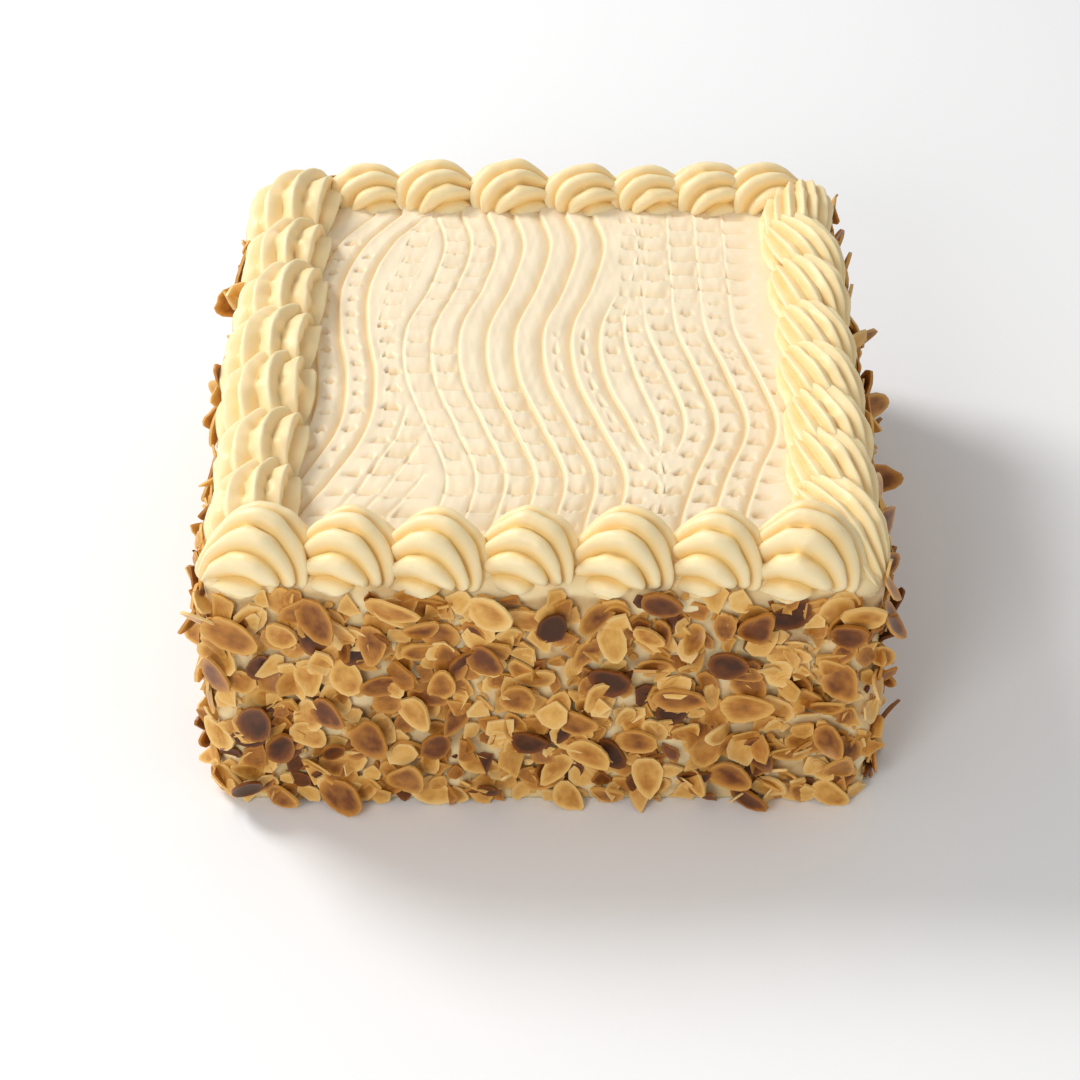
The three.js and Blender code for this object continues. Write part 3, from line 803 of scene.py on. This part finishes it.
def pipe_border():
    """All shells in the order of piping, each with its own small differences. The first one of
    the right row fans round the corner."""
    random = park_miller(SHELL_SEED)
    count = 0
    for side_name, own in ROWS.items():
        row = USUAL_ROW | own
        for index, place in enumerate(row["places"]):
            number = len(row["places"]) - index if side_name == "front" else index + 1
            differences = [amount * (2 * next(random) - 1) for amount in HAND_VARIATION.values()]
            turn = differences[1] + (CORNER_TURN if (side_name, number) == ("right", 1) else 0)
            hand = {"size": 1 + differences[0], "turn": np.radians(turn), "shift": differences[2]}
            shell = pipe_shell(f"piped_{side_name}_{number}", row, place, hand, 100 + 3 * count)
            dress(shell, PIPED_CREAM, "piped_buttercream", f"shell_{side_name}_{number}")
            count += 1
    return count


print("piped shells:", pipe_border())

# %% [markdown]
# ## The finish of toasted almonds
# Sliced almonds toast unevenly: a thin slice browns first in its middle, the rim stays pale,
# and a few slices go dark all over. Each flake carries two attributes, toast for the whole
# slice and middle for the distance from its rim, and a UV map along its grain.

# %% Make the almond materials
ALMOND_TONES = [(0.0, (0.90, 0.65, 0.28)), (0.25, (0.78, 0.44, 0.11)), (0.5, (0.50, 0.20, 0.03)),
                (0.75, (0.18, 0.05, 0.008)), (1.0, (0.06, 0.018, 0.005))]
GRAIN_STRETCH = (2.2, 16, 1)
STREAKS = (1.4, 3)
BLOTCHES = (2.6, 2)


def toasting_group():
    """Colour and height of a slice: toast, more of it in the middle, streaks along the grain
    and blotches, all added up and looked up in a ramp from pale to dark."""
    inputs = [("Middle browning", "NodeSocketFloat", 0.3), ("Grain", "NodeSocketFloat", 0.15)]
    outputs = [("Colour", "NodeSocketColor"), ("Height", "NodeSocketFloat")]
    group, given, result = socket_group("toasting", inputs, outputs)
    link = group.links.new
    uv = add_node(group, "ShaderNodeUVMap", uv_map="UVMap").outputs["UV"]
    stretch = add_node(group, "ShaderNodeMapping")
    stretch.inputs["Scale"].default_value = GRAIN_STRETCH
    link(uv, stretch.inputs["Vector"])
    streaks = noise_value(group, stretch.outputs["Vector"], *STREAKS)
    toast = add_node(group, "ShaderNodeAttribute", attribute_name="toast").outputs["Fac"]
    middle = add_node(group, "ShaderNodeAttribute", attribute_name="middle").outputs["Fac"]
    blotched = math_value(group, "MULTIPLY", middle, noise_value(group, uv, *BLOTCHES))
    warm = math_value(group, "MULTIPLY_ADD", blotched, given.outputs["Middle browning"], toast)
    centred = math_value(group, "SUBTRACT", streaks, 0.5)
    level = math_value(group, "MULTIPLY_ADD", centred, given.outputs["Grain"], warm, clamp=True)
    ramp = add_node(group, "ShaderNodeValToRGB")
    for tone in range(2, len(ALMOND_TONES)):
        ramp.color_ramp.elements.new(ALMOND_TONES[tone][0])
    for element, (place, colour) in zip(ramp.color_ramp.elements, ALMOND_TONES):
        element.position = place
        element.color = (*colour, 1)
    link(level, ramp.inputs["Fac"])
    link(ramp.outputs["Color"], result.inputs["Colour"])
    link(streaks, result.inputs["Height"])
    return group


TOASTING = toasting_group()


def almond_material(name, browning, grain, roughness):
    """A toasted slice with its own share of browning in the middle and of grain."""
    given = {"Middle browning": browning, "Grain": grain}
    skin = {"Roughness": roughness, "Specular IOR Level": 0.3}
    return finished_material(name, TOASTING, given, skin, strength=0.35, distance=0.2)


WHOLE_ALMOND = almond_material("whole_almond_slices", 0.7, 0.14, 0.36)
BROKEN_ALMOND = almond_material("broken_almond_slices", 0.4, 0.2, 0.4)
CRUMB_ALMOND = almond_material("almond_crumbs", 0.1, 0.3, 0.5)
print("almond materials:", [m.name for m in (WHOLE_ALMOND, BROKEN_ALMOND, CRUMB_ALMOND)])

# %% [markdown]
# ## Almond flakes as one array
# All flakes of a kind are made at once. A flake is a thin dish: a rim, an inner ring and a
# middle on each face. One array holds its outline for every flake, another its place on a
# wall, and the two are multiplied out. Whole slices are egg-shaped, and broken ones have a
# few straight edges.

# %% Shape the flakes
WALLS = {
    "front": {"right": (1, 0, 0), "out": (0, -1, 0), "length": WIDTH, "reach": DEPTH / 2},
    "right": {"right": (0, 1, 0), "out": (1, 0, 0), "length": DEPTH, "reach": WIDTH / 2},
    "back": {"right": (-1, 0, 0), "out": (0, 1, 0), "length": WIDTH, "reach": DEPTH / 2},
    "left": {"right": (0, -1, 0), "out": (-1, 0, 0), "length": DEPTH, "reach": WIDTH / 2},
}
EGG_BLUNTNESS = 0.22
EGG_WAVE = 0.05
EGG_TREMBLE = 0.03
SHARD_BLUNTNESS = 0.2
SHARD_SCALE = 1.12
# Where the two breaks of a broken slice cross its middle, and how far they slant.
LENGTH_BREAK = {"at": (0.02, 0.4), "slant": (-0.8, 0.8)}
WIDTH_BREAK = {"at": (0.1, 0.5), "slant": (-0.6, 0.6)}
INNER_RING = 0.62
# A flake's points are the rim below and above, the inner ring above and below, and the middle
# above and below. For each: its face, and its shares of the dish's depth and of the browning.
FACE = (-0.5, 0.5, 0.5, -0.5, 0.5, -0.5)
SUNK = (0, 0, 0.75, 0.75, 1, 1)
BROWNED = (0, 0, 0.8, 0.8, 1, 1)
GRAIN_SPREAD = 7
FLOOR_GAP = 0.3
SHARP_ANGLE = 50


def egg_outline(count, random, sides):
    """Rim points of whole slices: an ellipse, blunter at one end, with a little waviness."""
    angle = np.linspace(0, 2 * np.pi, sides, endpoint=False)[None, :]
    wave = 1 + EGG_WAVE * np.sin(3 * angle + random.uniform(0, 6.3, (count, 1)))
    wave = wave + EGG_TREMBLE * random.normal(size=(count, sides))
    y = np.sin(angle) * (1 - EGG_BLUNTNESS * np.cos(angle))
    return 0.5 * np.stack([np.cos(angle) * wave, y * wave], -1)


def shard_outline(count, random, sides):
    """Rim points of broken slices: an ellipse whose points are pulled onto two straight
    breaks, one across the length and one across the width."""
    def broken(value, other, line):
        at, slant = (random.uniform(*line[key], (count, 1)) for key in ("at", "slant"))
        return np.minimum(value, at + other * slant)

    start = np.linspace(0, 2 * np.pi, sides, endpoint=False)[None, :] + random.uniform(0, 0.5, (count, 1))
    angle = start + random.uniform(-0.25, 0.25, (count, sides))
    x = 0.5 * np.cos(angle)
    y = 0.5 * np.sin(angle) * (1 - SHARD_BLUNTNESS * np.cos(angle))
    x = broken(x, y, LENGTH_BREAK)
    y = broken(y, x, WIDTH_BREAK)
    return np.stack([x, y], -1) * SHARD_SCALE


def flake_faces(count, sides):
    """Corner numbers of count dishes: quads round the edge and from each rim to its inner
    ring, and triangles from each inner ring to its middle."""
    ring = np.arange(sides)
    after = (ring + 1) % sides
    below, above, inner_above, inner_below, middle = (i * sides for i in range(5))
    bands = ((below, above), (above, inner_above), (inner_below, below))
    quads = np.concatenate([np.stack([a + ring, a + after, b + after, b + ring], -1) for a, b in bands])
    triangles = np.concatenate([fan(middle, inner_above + ring),
                                fan(middle + 1, inner_below + ring)[:, [0, 2, 1]]])
    step = (np.arange(count) * (middle + 2))[:, None, None]
    return (quads[None] + step).reshape(-1, 4), (triangles[None] + step).reshape(-1, 3)


def wall_places(flakes):
    """Each flake's spot on the icing, the way along the wall there and the way off it. Past
    the straight part of a wall, across runs on round the corner's arc."""
    right, out, length, reach = (np.array([WALLS[wall][key] for wall in flakes["wall"]], float)
                                 for key in ("right", "out", "length", "reach"))
    half = length / 2 - CORNER_RADIUS
    straight = np.clip(flakes["across"], -half, half)
    angle = ((flakes["across"] - straight) / CORNER_RADIUS)[:, None]
    off = out * np.cos(angle) + right * np.sin(angle)
    along = right * np.cos(angle) - out * np.sin(angle)
    spot = right * straight[:, None] + out * (reach - CORNER_RADIUS)[:, None] + off * CORNER_RADIUS
    return spot, along, off


def flake_frames(flakes, right, out):
    """For each flake its lengthway, crossway and outward way. Spin turns it in the wall's
    plane, tilt lifts one end off the wall and roll lifts one long side."""
    up = np.array([0, 0, 1.0])
    spin, tilt, roll = (np.radians(flakes[key])[:, None] for key in ("spin", "tilt", "roll"))
    level = right * np.cos(spin) + up * np.sin(spin)
    cross = up * np.cos(spin) - right * np.sin(spin)
    lengthway = level * np.cos(tilt) + out * np.sin(tilt)
    facing = np.cross(lengthway, cross)
    facing = facing * np.sign((facing * out).sum(-1, keepdims=True))
    crossway = cross * np.cos(roll) + facing * np.sin(roll)
    facing = np.cross(lengthway, crossway)
    return lengthway, crossway, facing * np.sign((facing * out).sum(-1, keepdims=True))


def flake_mesh(name, flakes, outlines, material):
    """A joined mesh of all flakes of a kind: each rim scaled to the flake's size, its inner
    ring and middle sunk by the dish's depth, the whole bent along its length, and raised
    where it would touch the floor."""
    count, sides = outlines.shape[:2]
    size = np.stack([flakes["length"], flakes["width"]], -1)[:, None]
    rim = outlines * size
    middle = rim.mean(1, keepdims=True)
    inner = middle + (rim - middle) * INNER_RING
    flat = np.concatenate([rim, rim, inner, inner, middle, middle], 1)
    face, sunk, browned = (np.repeat(shares, [sides] * 4 + [1, 1]) for shares in (FACE, SUNK, BROWNED))
    bend = flakes["bend"][:, None] * (2 * flat[..., 0] / flakes["length"][:, None]) ** 2
    height = face * flakes["thickness"][:, None] - sunk * flakes["dish"][:, None] + bend
    spot, along, off = wall_places(flakes)
    lengthway, crossway, facing = flake_frames(flakes, along, off)
    centre = spot + off * flakes["lift"][:, None]
    centre[:, 2] += flakes["up"]
    points = (centre[:, None] + flat[..., :1] * lengthway[:, None] + flat[..., 1:] * crossway[:, None]
              + height[..., None] * facing[:, None])
    points[..., 2] += np.maximum(0, FLOOR_GAP - points[..., 2].min(1))[:, None]
    values = {"toast": np.repeat(flakes["toast"], flat.shape[1]), "middle": np.tile(browned, count)}
    uv = flat / size.max(-1, keepdims=True) + GRAIN_SPREAD * flakes["grain"][:, None, None]
    quads, triangles = flake_faces(count, sides)
    piece = put_mesh(name, points.reshape(-1, 3), quads, triangles, values, uv.reshape(-1, 2), SHARP_ANGLE)
    dress(piece, material, "toasted_almond", "iced_cake")
    return piece


print("faces of one whole slice:", sum(len(f) for f in flake_faces(1, 14)))

# %% [markdown]
# ## Scatter the flakes
# A handful of flakes is pressed against each wall. The ones that catch the eye are listed one
# by one: across and up the wall, length, width, spin, tilt and toast. Others stand on the loose
# grid that the imported model uses. A dense layer of broken pieces and crumbs fills in between,
# thinner where the photograph shows bare icing near the top.

# %% Place the flakes
HERO_FLAKES = {
    "front": [
        (-86.6, 66.6, 17, 11, -20, 12, 0.3), (-91, 51.2, 17, 9, 88, 15, 0.4),
        (-82.5, 34.1, 16, 10, 84, 10, 0.62), (-50, 28.6, 18, 11, 82, 14, 0.42),
        (-63, 72.8, 15, 10, -60, 22, 0.4), (-28.8, 48.1, 13, 8, 80, 12, 0.25),
        (-4.3, 25.4, 11, 8, 10, 14, 0.7), (-39.7, 11.7, 15, 11, 70, 18, 0.3),
        (-14.9, 76, 15, 11, 5, 30, 0.05), (-7.1, 43.4, 13, 10, 60, 16, 0.3),
        (2.5, 69.6, 13, 8, 75, 12, 0.85), (19, 49.6, 13, 11, 20, 20, 0.7),
        (52.1, 55.6, 12, 10, 30, 14, 0.65), (38.7, 42.6, 16, 9, 5, 10, 0.35),
        (57.9, 39.9, 16, 9, 12, 12, 0.25), (54.6, 12.5, 13, 11, -15, 16, 0.35),
        (59.2, 69.8, 15, 9, 65, 18, 0.5), (85, 66.8, 12, 9, 40, 20, 0.55),
        (84, 49.5, 12, 10, -50, 25, 0.35), (27, 26.2, 13, 8, 8, 14, 0.3),
        (9.2, 33.7, 13, 8, 3, 20, 0.35), (86, 16.5, 14, 9, 80, 24, 0.3),
    ],
    "right": [(36, 66, 14, 10, 15, 55, 0.35), (6, 62, 16, 9, -20, 60, 0.3), (-26, 58, 17, 9, -35, 60, 0.4)],
    "back": [],
    "left": [(-54, 68, 12, 10, 10, 58, 0.3), (6, 66, 11, 8, 20, 50, 0.35)],
}
# These three show in the photograph too, but aren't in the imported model.
FRONT_EXTRAS = [
    (-42, 77, 17, 9, 5, 24, 0.2), (32.5, 78, 12, 9, 0, 14, 0.55), (88, 74, 13, 11, 30, 24, 0.15),
]
FLAKE_CELL = {"across": 22, "up": 17}
CELL_MARGIN = 0.2
FLAKE_TOP_MARGIN = 6
FLAKE_EDGE_MARGIN = 4
FLAKE_SEED = 2027
CROWDED = 11
SLICE = {"length": (9, 15), "width": (0.55, 0.8), "spin": (-90, 90), "tilt": (6, 36), "toast": (0.1, 0.6)}
DARK_SLICE = {"from": 0.8, "more_toast": 0.25}
HIGHEST_FLAKE = HEIGHT - 4
# How much every flake differs from the next, as a spread or between two bounds.
ROLL_SPREAD = 9
DISH_RANGE = (-0.4, 1)
BEND_SPREAD = 0.5
THICKNESS_RANGE = (0.7, 1.2)
# How far a flake's middle rises, as a share of what its tilt and its roll put below it.
TILT_LIFT = 0.33
ROLL_LIFT = 0.3
# Each kind of flake: its layer's height off the icing, how hollow and how thick it is in
# millimetres, and its outline and material. What is loose lies up to that much higher.
WHOLE_FLAKES = {"layer": 2.4, "dish": 1.0, "thickness": 0.9, "loose": 0,
                "outline": egg_outline, "sides": 14, "material": WHOLE_ALMOND}


def between(bounds, share):
    """The value at a share of the way from one bound to the other."""
    return bounds[0] + (bounds[1] - bounds[0]) * share


def pressed_flakes():
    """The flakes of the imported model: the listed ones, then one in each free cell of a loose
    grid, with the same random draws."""
    random = park_miller(FLAKE_SEED)
    rows = []
    for wall, shape in WALLS.items():
        heroes = HERO_FLAKES[wall]
        rows += [(wall, *hero) for hero in heroes]
        usable = shape["length"] - 2 * FLAKE_EDGE_MARGIN
        tall = HEIGHT - FLAKE_TOP_MARGIN
        columns, levels = round(usable / FLAKE_CELL["across"]), round(tall / FLAKE_CELL["up"])
        for cell in range(columns * levels):
            draws = [next(random) for _ in range(6)]
            column, level = (between((CELL_MARGIN, 1 - CELL_MARGIN), draw) for draw in draws[:2])
            across = ((cell % columns + column) / columns - 0.5) * usable
            up = (cell // columns + level) / levels * tall
            length = between(SLICE["length"], draws[2])
            width = length * between(SLICE["width"], draws[3])
            spin = between(SLICE["spin"], draws[4])
            tilt = between(SLICE["tilt"], draws[5] ** 2)
            darker = DARK_SLICE["more_toast"] * (draws[5] > DARK_SLICE["from"])
            toast = between(SLICE["toast"], draws[4] ** 2) + darker
            if all(np.hypot(hero[0] - across, hero[1] - up) >= CROWDED for hero in heroes):
                rows.append((wall, across, up, length, width, spin, tilt, toast))
    return rows


def flake_table(rows, random, kind):
    """Columns of a table of flakes, with a random roll, dish, bend and grain for each. A flake
    is lifted off the icing by its layer and by what its tilt and roll would push under."""
    names = ("across", "up", "length", "width", "spin", "tilt", "toast")
    table = {name: np.array([row[i + 1] for row in rows], float) for i, name in enumerate(names)}
    count = len(rows)
    table["wall"] = [row[0] for row in rows]
    table["roll"] = random.normal(0, ROLL_SPREAD, count)
    table["dish"] = kind["dish"] * random.uniform(*DISH_RANGE, count)
    table["bend"] = random.normal(0, BEND_SPREAD, count)
    table["grain"] = random.uniform(0, 1, count)
    table["thickness"] = kind["thickness"] * random.uniform(*THICKNESS_RANGE, count)
    table["lift"] = (kind["layer"] + TILT_LIFT * table["length"] * np.abs(np.sin(np.radians(table["tilt"])))
                     + ROLL_LIFT * table["width"] * np.abs(np.sin(np.radians(table["roll"]))))
    if kind["loose"]:
        table["lift"] += random.uniform(0, kind["loose"], count)
    table["up"] = np.minimum(table["up"], HIGHEST_FLAKE)
    return table


def lay_flakes(name, rows, random, kind):
    """One piece of all these flakes, and the table that says where they are."""
    table = flake_table(rows, random, kind)
    outlines = kind["outline"](len(rows), random, kind["sides"])
    piece = flake_mesh(name, table, outlines, kind["material"])
    print(name, "has", len(rows), "flakes and", len(piece.data.polygons), "faces")
    return table


random = np.random.default_rng(FLAKE_SEED)
whole_rows = pressed_flakes() + [("front", *extra) for extra in FRONT_EXTRAS]
slices = lay_flakes("whole_flakes", whole_rows, random, WHOLE_FLAKES)

# %% [markdown]
# ### The dense layer
# Between the large slices the wall is covered by small whole slices, broken pieces and
# crumbs. Their places are a jittered grid, so that they spread evenly, and a cover value that
# falls near the top and wanders with the lumps decides which of them stay.

# %% Fill in with broken pieces and crumbs
# Each kind also has the grid's cell, the bounds of its length and of its width as a share of
# that, its most tilt, and how much of the wall it covers.
FILLINGS = {
    "small_flakes": {"cell": 9.6, "length": (9, 14), "width": (0.5, 0.72), "tilt": 50, "cover": 0.85,
                     "layer": 1.5, "dish": 0.9, "thickness": 0.8, "loose": 0,
                     "outline": egg_outline, "sides": 12, "material": WHOLE_ALMOND},
    "broken_flakes": {"cell": 5.6, "length": (6, 11), "width": (0.6, 0.95), "tilt": 58, "cover": 1.0,
                      "layer": 0.5, "dish": 0.5, "thickness": 0.75, "loose": 1.2,
                      "outline": shard_outline, "sides": 9, "material": BROKEN_ALMOND},
    "almond_crumbs": {"cell": 5.2, "length": (2, 4), "width": (0.5, 0.9), "tilt": 40, "cover": 0.75,
                      "layer": 0.3, "dish": 0.1, "thickness": 0.9, "loose": 0,
                      "outline": shard_outline, "sides": 6, "material": CRUMB_ALMOND},
}
END_MARGIN = 4
LEVEL_MARGIN = 2
TOP_MARGIN = 3
BARE_TOP = {"from": HEIGHT - 16, "to": HEIGHT - 4, "share": 0.4}
BARE_PATCHES = {"share": 0.2, "size": 26, "seed": 31, "wall_step": 100}
PIECE_TOAST = (0.05, 0.45)
TOAST_CURVE = 1.3
DARK_PIECE = {"from": 0.85, "more_toast": 0.35}
TILT_CURVE = 1.5
UNDER_SLICE = 0.7
UNDER_SLICE_TILT = 0.12


def under_slices(wall, across, up):
    """True where a place is nearer to a large slice's middle than a share of its length."""
    here = np.array(slices["wall"]) == wall
    gap = np.hypot(across[:, None] - slices["across"][here], up[:, None] - slices["up"][here])
    return (gap < UNDER_SLICE * slices["length"][here]).any(1)


def scatter(random, kind):
    """Rows of flakes on a jittered grid over all four walls. A flake stays where a random
    draw is below the cover at its place, and lies flatter under a large slice."""
    rows = []
    for index, (wall, shape) in enumerate(WALLS.items()):
        usable = shape["length"] - END_MARGIN
        columns, levels = int(usable / kind["cell"]), int((HEIGHT - LEVEL_MARGIN) / kind["cell"])
        cell = np.arange(columns * levels)
        count = len(cell)
        across = ((cell % columns + random.uniform(0, 1, count)) / columns - 0.5) * usable
        up = (cell // columns + random.uniform(0, 1, count)) / levels * (HEIGHT - TOP_MARGIN)
        places = np.stack([across, up, 0 * up + BARE_PATCHES["wall_step"] * index], -1)
        patches = BARE_PATCHES["share"] * lumps(places, BARE_PATCHES["size"], BARE_PATCHES["seed"])
        bare = BARE_TOP["share"] * smooth_step(BARE_TOP["from"], BARE_TOP["to"], up)
        stays = random.uniform(0, 1, count) < kind["cover"] * (1 - bare) + patches
        length = random.uniform(*kind["length"], count)
        width = length * random.uniform(*kind["width"], count)
        toast = between(PIECE_TOAST, random.uniform(0, 1, count) ** TOAST_CURVE)
        toast = toast + DARK_PIECE["more_toast"] * (random.uniform(0, 1, count) > DARK_PIECE["from"])
        spin = random.uniform(-180, 180, count)
        flatter = np.where(under_slices(wall, across, up), UNDER_SLICE_TILT, 1)
        tilt = kind["tilt"] * random.uniform(0, 1, count) ** TILT_CURVE * flatter
        table = np.stack([across, up, length, width, spin, tilt, toast], -1)
        rows += [(wall, *row) for row in table[stays]]
    return rows


for filling, kind in FILLINGS.items():
    lay_flakes(filling, scatter(random, kind), random, kind)

# %% [markdown]
# ## The floor
# The floor belongs to the stage, not to the cake, so it is not attached to the cake's body.

# %% Lay the floor
def lay_floor():
    half = FLOOR_SIZE / 2
    corners = [(-half, -half, 0), (half, -half, 0), (half, half, 0), (-half, half, 0)]
    mesh = bpy.data.meshes.new("floor")
    mesh.from_pydata([Vector(corner) * MM for corner in corners], [], [(0, 1, 2, 3)])
    material = bpy.data.materials.new("white_floor")
    material.use_nodes = True
    skin = material.node_tree.nodes["Principled BSDF"]
    skin.inputs["Base Color"].default_value = (0.93, 0.93, 0.93, 1)
    skin.inputs["Roughness"].default_value = 0.9
    skin.inputs["Specular IOR Level"].default_value = 0.1
    mesh.materials.append(material)
    floor = bpy.data.objects.new("floor", mesh)
    bpy.context.scene.collection.objects.link(floor)


lay_floor()
print("floor laid")
